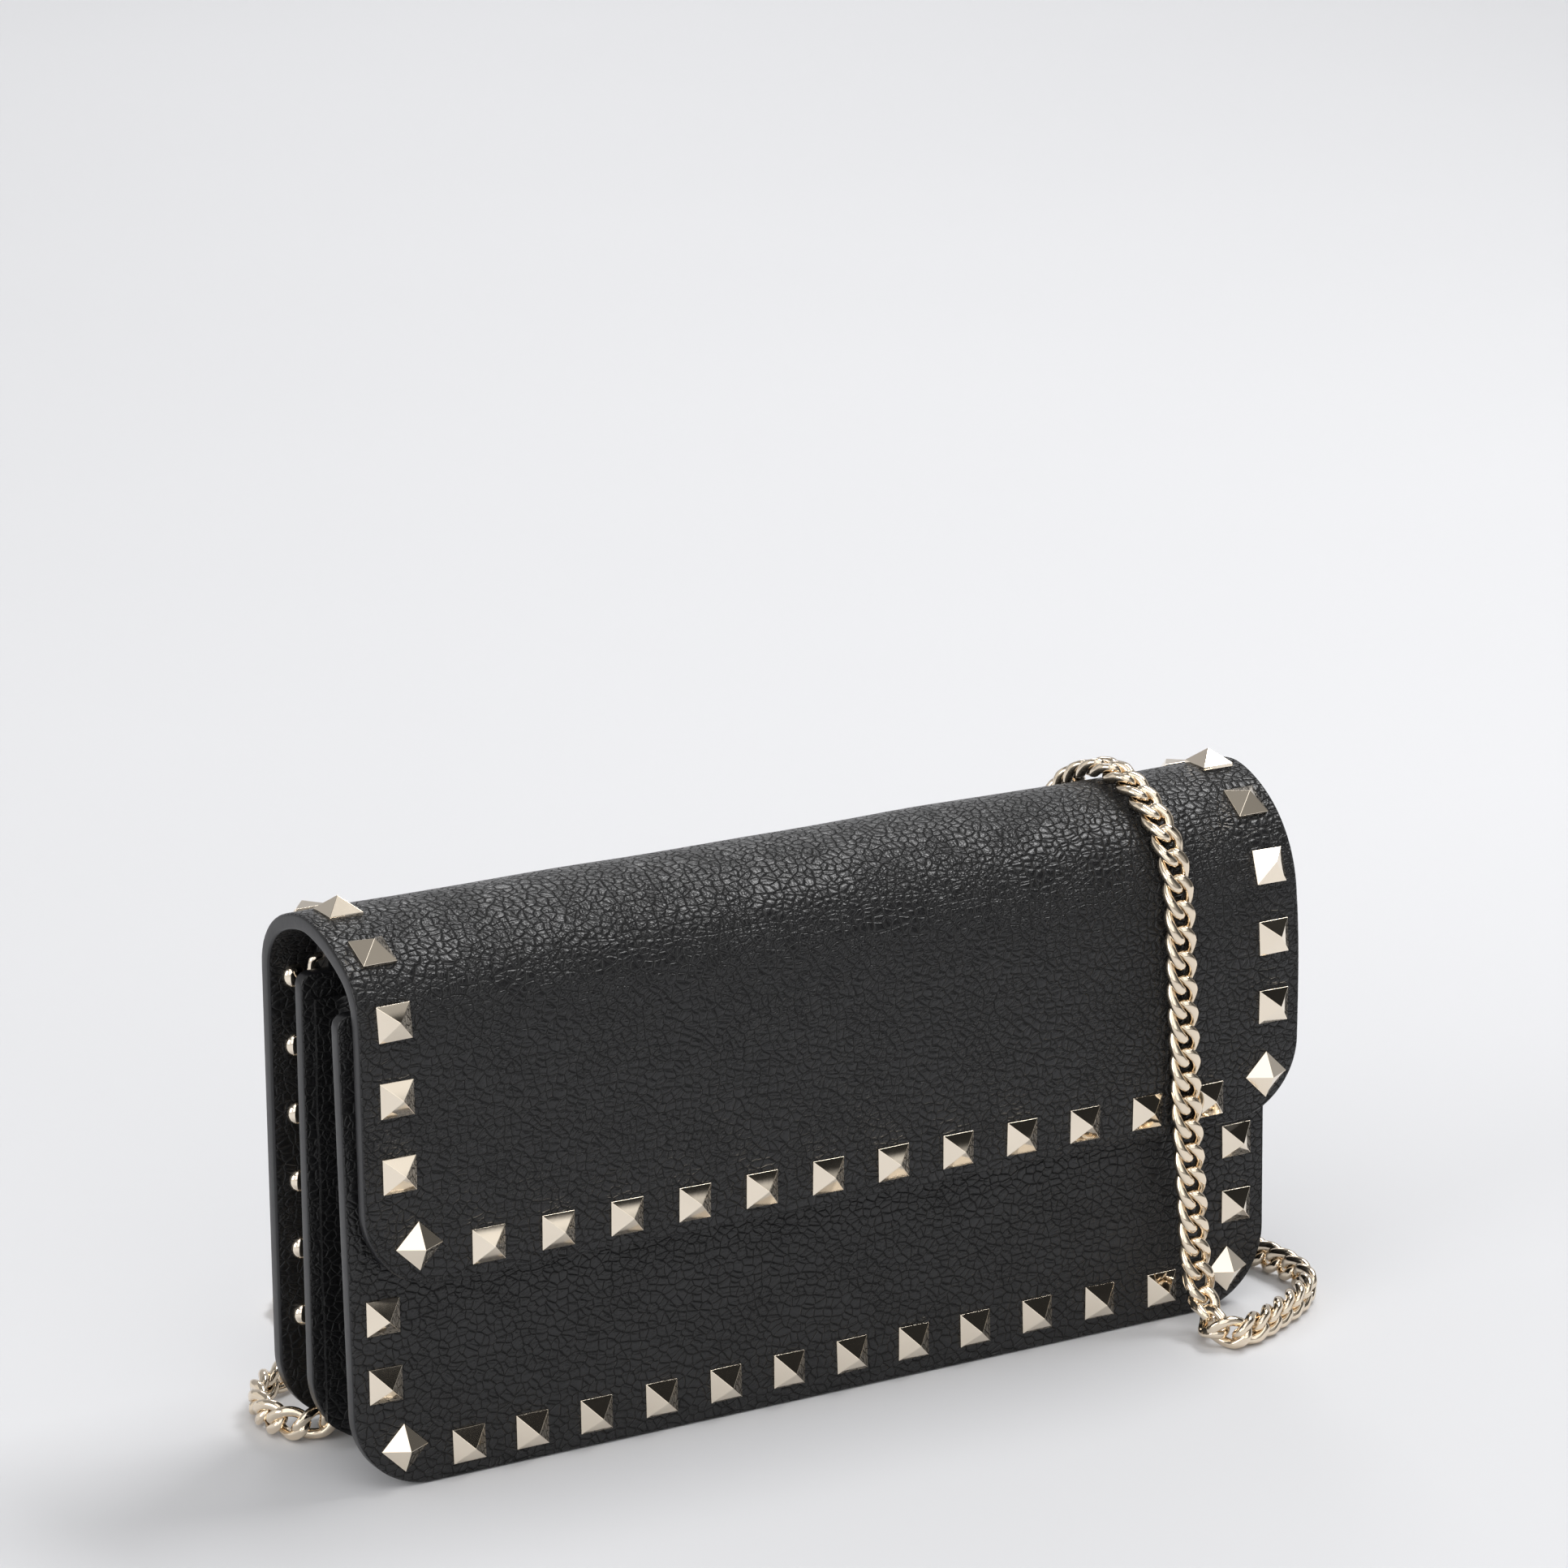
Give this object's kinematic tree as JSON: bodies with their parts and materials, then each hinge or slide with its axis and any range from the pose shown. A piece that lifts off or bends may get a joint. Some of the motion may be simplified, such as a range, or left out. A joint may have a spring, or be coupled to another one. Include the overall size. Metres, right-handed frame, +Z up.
{
  "type": "chain wallet",
  "caption": "Long leather clutch wallet with a fold-over flap edged in pyramid studs, dome-studded back, inside zip pocket and a detachable curb-chain shoulder strap.",
  "frame": {"origin": "centre of the closed wallet box without its chain, at the height of the surface it stands on", "axes": "+X along the wallet, towards the right seen from the flap side; -Y out of the flap side; +Y out of the back; +Z up from the bottom edge to the fold"},
  "size_m": [0.2179, 0.1242, 0.1133],
  "materials": {
    "outer_leather": "pebbled black calf, satin",
    "lining_leather": "fine-grained black, satin",
    "gold_metal": "polished pale gold plating",
    "zip_metal": "polished pale gold plating",
    "woven_cloth": "black woven cloth",
    "stiff_board": "hidden stiffening board",
    "chain_metal": "polished pale gold plating"
  },
  "bodies": {
    "base": {"back_panel_leather": "outer_leather", "back_panel_lining": "lining_leather", "back_row_studs": "gold_metal", "back_left_studs": "gold_metal", "back_right_studs": "gold_metal", "zip_pocket_bag": "woven_cloth", "zip_tape_upper": "woven_cloth", "zip_tape_lower": "woven_cloth", "zip_teeth_upper": "zip_metal", "zip_teeth_lower": "zip_metal", "zip_stop_closed": "zip_metal", "zip_stop_open": "zip_metal", "divider_front_leather": "lining_leather", "divider_board": "stiff_board", "divider_rear_leather": "lining_leather", "front_gusset_left": "lining_leather", "front_gusset_right": "lining_leather", "front_gusset_base": "lining_leather", "rear_gusset_left": "lining_leather", "rear_gusset_right": "lining_leather", "rear_gusset_base": "lining_leather", "card_slot_left_1": "lining_leather", "card_slot_left_2": "lining_leather", "card_slot_left_3": "lining_leather", "card_slot_right_1": "lining_leather", "card_slot_right_2": "lining_leather", "card_slot_right_3": "lining_leather", "left_ring_tab": "lining_leather", "right_ring_tab": "lining_leather", "left_d_ring": "gold_metal", "right_d_ring": "gold_metal", "left_hook_eye": "gold_metal", "right_hook_eye": "gold_metal", "chain_strap": "chain_metal"},
    "flap": {"flap_leather": "outer_leather", "flap_lining": "lining_leather", "flap_row_studs": "gold_metal", "flap_left_studs": "gold_metal", "flap_right_studs": "gold_metal", "snap_cap": "zip_metal"},
    "front_panel": {"front_panel_leather": "outer_leather", "front_panel_lining": "lining_leather", "front_panel_board": "stiff_board", "front_row_studs": "gold_metal", "front_left_studs": "gold_metal", "front_right_studs": "gold_metal", "snap_socket": "zip_metal"},
    "zip_slider_body": {"zip_slider": "zip_metal"},
    "zip_pull_body": {"zip_pull": "zip_metal"},
    "left_hook_body": {"left_hook": "gold_metal"},
    "left_gate_body": {"left_hook_gate": "gold_metal"},
    "right_hook_body": {"right_hook": "gold_metal"},
    "right_gate_body": {"right_hook_gate": "gold_metal"}
  },
  "joints": [
    {"name": "flap_fold", "type": "hinge", "parent": "base", "child": "flap", "pos_m": [0, 0.0208, 0.092], "axis": [-1, 0, 0], "range_deg": [0, 120], "deforming": ["chain_strap"]},
    {"name": "front_panel_tilt", "type": "hinge", "parent": "base", "child": "front_panel", "pos_m": [0, -0.0177, 0], "axis": [1, 0, 0], "range_deg": [0, 12.5], "deforming": ["front_gusset_left", "front_gusset_right"]},
    {"name": "zip_slide", "type": "slide", "parent": "base", "child": "zip_slider_body", "axis": [1, 0, 0], "range_m": [0, 0.128]},
    {"name": "zip_pull_swing", "type": "hinge", "parent": "zip_slider_body", "child": "zip_pull_body", "pos_m": [-0.0645, 0.01535, 0.068], "axis": [-1, 0, 0], "range_deg": [0, 28]},
    {"name": "left_hook_swivel", "type": "hinge", "parent": "base", "child": "left_hook_body", "pos_m": [-0.0899, 0.0117, 0.0858], "axis": [0, 0, 1], "range_deg": [-25, 25]},
    {"name": "left_gate_open", "type": "hinge", "parent": "left_hook_body", "child": "left_gate_body", "pos_m": [-0.0899, 0.0137, 0.0825], "axis": [1, 0, 0], "range_deg": [0, 20], "stiffness_Nm_per_rad": 0.0005},
    {"name": "right_hook_swivel", "type": "hinge", "parent": "base", "child": "right_hook_body", "pos_m": [0.0893, 0.0117, 0.0858], "axis": [0, 0, 1], "range_deg": [-25, 25]},
    {"name": "right_gate_open", "type": "hinge", "parent": "right_hook_body", "child": "right_gate_body", "pos_m": [0.0893, 0.0137, 0.0825], "axis": [1, 0, 0], "range_deg": [0, 20], "stiffness_Nm_per_rad": 0.0005}
  ],
  "couplings": [
    {"joint": "front_panel_tilt", "follows": "flap_fold", "ratio": 0.1}
  ]
}
